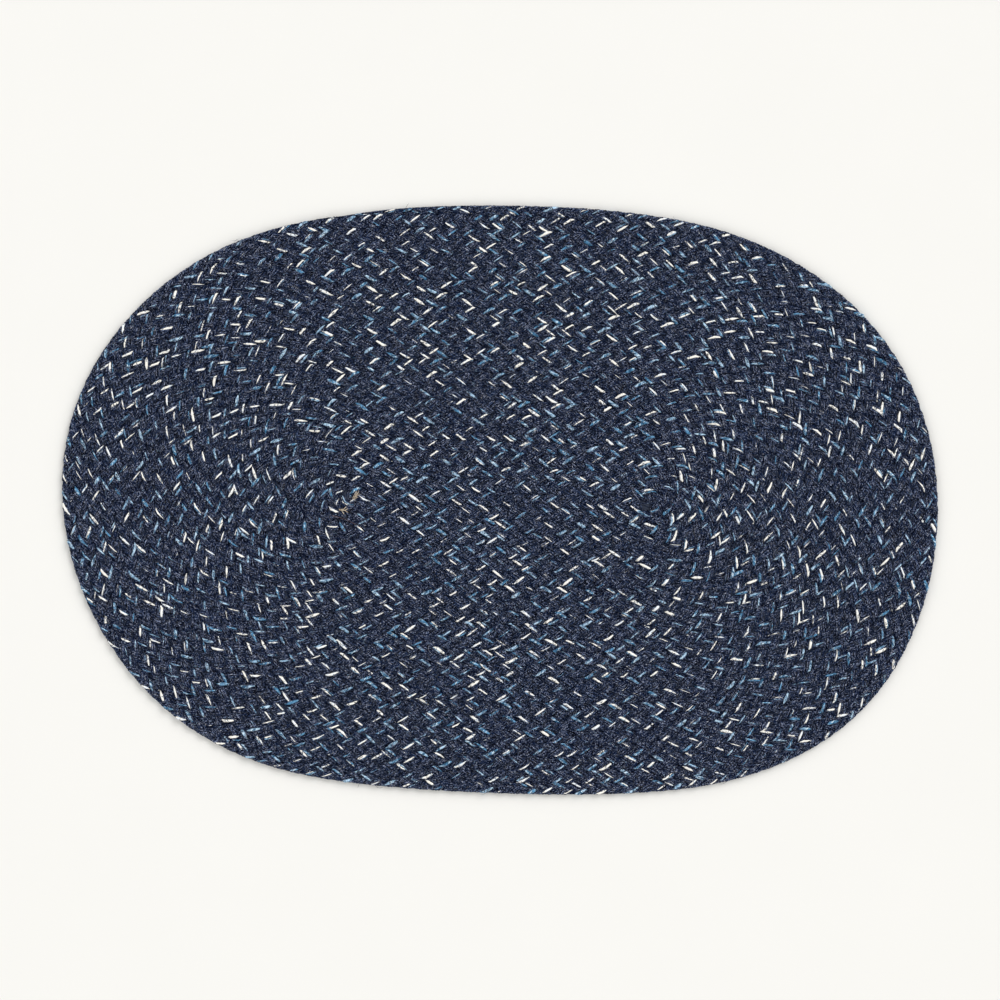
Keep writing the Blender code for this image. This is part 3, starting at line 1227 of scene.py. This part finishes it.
lacing = grow("lacing", PLAIT, lacing_tree(), {"Finish": NAVY})
lay_out_map(lacing.data, THREAD_SIDES, NAVY_STEPS_IN_ROW)
pieces.append(lacing)
bpy.data.objects.remove(PLAIT)

# %% [markdown]
# ## Frayed ends
#
# At the core's left bend an undyed yarn has broken and frayed into a small tuft, and a few short ends of it
# curl beside. An end of brown thread lies over the rows there. They are few and each has its own place, so a
# table lists them, and a small function draws each as a curling line. The same kind of tree then sweeps
# rings.

# %% Frayed ends
STRAW = yarn_material(
    "frayed_jute", shade=(0.36, 0.27, 0.18), body=(0.74, 0.63, 0.47), other=(0.84, 0.76, 0.64),
    dry=(0.92, 0.86, 0.76), fuzz_share=0.2,
)
BROWN = yarn_material(
    "brown_thread", shade=(0.05, 0.03, 0.03), body=(0.14, 0.08, 0.07), other=(0.20, 0.13, 0.11),
    dry=(0.30, 0.22, 0.20), fuzz_share=0.2,
)
FRAYED_ENDS = [
    # name, finish, thickness, ends, middle of the roots, direction and fan in degrees, length, curl
    ("frayed_tuft", STRAW, 0.00024, 11, (-0.1502, 0.0012), 48.0, 40.0, 0.0095, 80.0),
    ("curled_ends", STRAW, 0.00045, 4, (-0.1640, -0.0095), -15.0, 40.0, 0.0095, 90.0),
    ("thread_end", BROWN, 0.00035, 1, (-0.1714, -0.0160), -12.0, 0.0, 0.0330, -25.0),
]
ROOT_HEIGHT = 0.0074
ROOT_SPREAD = 0.0012
END_RISE = 0.0012
FRAYED_POINTS = 9
FRAYED_SEED = 31


def curling_lines(count, root, direction, fan, length, curl, random):
    """Lines that start close together, fan out and curl, each rising from the yarns and coming down again."""
    places, several = [], count > 1
    for _ in range(count):
        start = np.array(root) + random.uniform(-ROOT_SPREAD, ROOT_SPREAD, 2)
        turn = math.radians(direction + random.uniform(-0.5, 0.5) * fan)
        own_curl = math.radians(curl) * (random.uniform(-1.0, 1.0) if several else 1.0)
        step = length * (random.uniform(0.6, 1.0) if several else 1.0) / (FRAYED_POINTS - 1)
        for i in range(FRAYED_POINTS):
            share = i / (FRAYED_POINTS - 1)
            rise = END_RISE * math.sin(math.pi * share) * random.uniform(0.7, 1.0)
            places.append((*start, ROOT_HEIGHT + rise))
            angle = turn + own_curl * share
            start = start + step * np.array([math.cos(angle), math.sin(angle)])
    return places


def thread_tree():
    inputs = {"Lines": "Geometry", "Thickness": 0.0003, "Finish": "Material"}
    tree, given = new_group("swept_lines", "GeometryNodeTree", inputs)
    put_out_thread(through(given["Lines"], "MeshToCurve"), given)
    return tree


THREAD_TREE = thread_tree()
random = np.random.default_rng(FRAYED_SEED)
for name, material, thickness, ends, *shape in FRAYED_ENDS:
    places = curling_lines(ends, *shape, random)
    source = string_of_points("line", places, ends, along=0.001 * np.arange(len(places)))
    piece = grow(name, source, THREAD_TREE, {"Thickness": thickness, "Finish": material})
    lay_out_map(piece.data, THREAD_SIDES, FRAYED_POINTS * ends)
    bpy.data.objects.remove(source)
    pieces.append(piece)

# %% [markdown]
# ## The inside of the plait
#
# Between the yarns that show there are others that don't, packed so tightly that no light passes through the
# mat. They are one closed sheet with the CAD part's own ridges and grooves, made thinner and drawn in at the
# edge so that it stays under the yarns.

# %% Inner sheet
# A height of the part, and the sheet's height there.
INNER_HEIGHTS = [(0.0, 0.0030), (0.0038, 0.0036), (0.0065, 0.0040), (0.0080, 0.0050)]
INNER_INSET = 0.0034
RIM_HEIGHTS = (0.0, 0.0038, 0.0069)  # foot, bulge and shoulder of the part's outer side
RIM_TOLERANCE = 2e-5
PACKED_GRAIN = 900.0


def packed_material():
    """The dark of the plait's inside: short navy fibres in every direction."""
    material, tree, shader = new_material("packed_navy_jute")
    grain = noise(tree, object_place(tree), PACKED_GRAIN)
    fill(shader["Base Color"], mix(grain, (0.010, 0.015, 0.028), (0.030, 0.042, 0.072)))
    fill(shader["Normal"], bump(grain, 0.4, 0.0004))
    fill(shader["Roughness"], JUTE_ROUGHNESS)
    return material


def inner_sheet(part):
    """A copy of the CAD part, thinner and smaller all round."""
    mesh = part.data.copy()
    bm = bmesh.new()
    bm.from_mesh(mesh)
    bmesh.ops.remove_doubles(bm, verts=bm.verts, dist=1e-6)
    old, new = zip(*INNER_HEIGHTS)
    for v in bm.verts:
        if min(abs(v.co.z - rim) for rim in RIM_HEIGHTS) < RIM_TOLERANCE:
            v.co.xy -= v.co.xy.normalized() * INNER_INSET
        v.co.z = float(np.interp(v.co.z, old, new))
    bm.to_mesh(mesh)
    bm.free()
    mesh.materials.clear()
    mesh.materials.append(packed_material())
    print("plait_inside:", len(mesh.polygons), "triangles")
    return add_object("plait_inside", mesh)


inside = inner_sheet(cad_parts["plaited_mat"])
pieces.append(inside)

# %% [markdown]
# ## The floor
#
# A plain pale floor shows the mat's shadow. It is not part of the mat.

# %% Floor
FLOOR_REACH = 6.0


def floor_material():
    material, tree, shader = new_material("pale_floor")
    grain = noise(tree, object_place(tree), 9.0, 3.0)
    fill(shader["Base Color"], mix(grain, (0.80, 0.793, 0.765), (0.815, 0.808, 0.78)))
    fill(shader["Roughness"], 0.9)
    fill(shader["Specular IOR Level"], 0.1)
    return material


def make_floor():
    mesh = bpy.data.meshes.new("floor")
    corners = [(x * FLOOR_REACH, y * FLOOR_REACH, 0.0) for x, y in ((-1, -1), (1, -1), (1, 1), (-1, 1))]
    mesh.from_pydata(corners, [], [(0, 1, 2, 3)])
    mesh.materials.append(floor_material())
    return add_object("floor", mesh)


floor = make_floor()
print("materials", [m.name for m in bpy.data.materials])

# %% [markdown]
# ## Hand over
#
# Every piece rides on the mat's one body. The closed inner sheet stands in for the CAD part, which is hidden.

# %% Hand over
for piece in pieces:
    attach(piece, "root")
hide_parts("plaited_mat")
